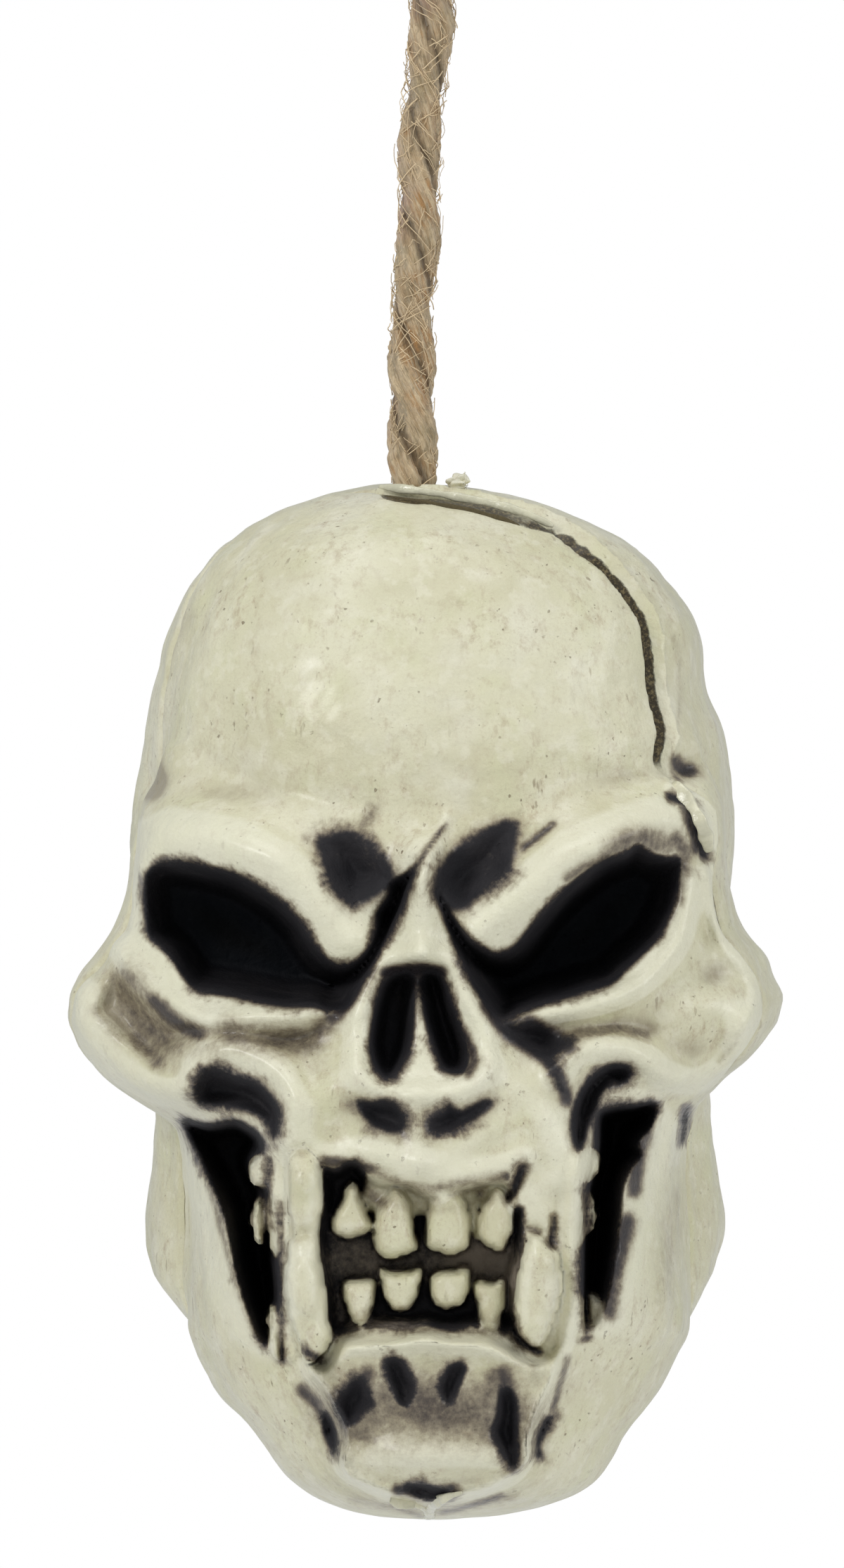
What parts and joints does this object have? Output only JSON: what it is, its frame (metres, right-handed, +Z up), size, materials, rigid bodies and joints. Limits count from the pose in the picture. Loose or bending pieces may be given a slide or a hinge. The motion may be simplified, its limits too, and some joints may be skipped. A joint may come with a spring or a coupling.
{
  "type": "hanging skull ornament",
  "caption": "Hollow two-part moulded skull hanging by its crown on a natural jute rope that ends in a knotted loop to hang it by.",
  "frame": {"origin": "inside of the top of the hanging loop, where a hook or nail carries it", "axes": "+Z up, the face looks along -Y, +X to the right in the picture"},
  "size_m": [0.0821, 0.0925, 0.242],
  "materials": {
    "skull_plastic": "pale ivory moulded plastic with a soft gloss, recesses washed blue-black",
    "jute": "tan two-ply natural jute, rough, with loose fibres",
    "dried_glue": "milky dried glue"
  },
  "bodies": {
    "loop": {"hanging_loop": "jute", "loop_knot": "jute", "rope_tail": "jute"},
    "rope": {"rope_stem": "jute"},
    "anchor": {"anchor_knot": "jute", "anchor_tail": "jute"},
    "skull": {"front_shell": "skull_plastic", "rear_shell": "skull_plastic", "crown_glue": "dried_glue"}
  },
  "joints": [
    {"name": "rope_swing", "type": "hinge", "parent": "loop", "child": "rope", "pos_m": [0, 0, -0.0548], "axis": [0, 1, 0], "range_deg": [-50, 50]},
    {"name": "skull_tilt", "type": "hinge", "parent": "rope", "child": "anchor", "pos_m": [-0.0022, 0, -0.1184], "axis": [1, 0, 0], "range_deg": [-30, 30]},
    {"name": "skull_spin", "type": "hinge", "parent": "anchor", "child": "skull", "pos_m": [-0.0022, 0, -0.1184], "axis": [0, 0, 1], "continuous": true}
  ]
}
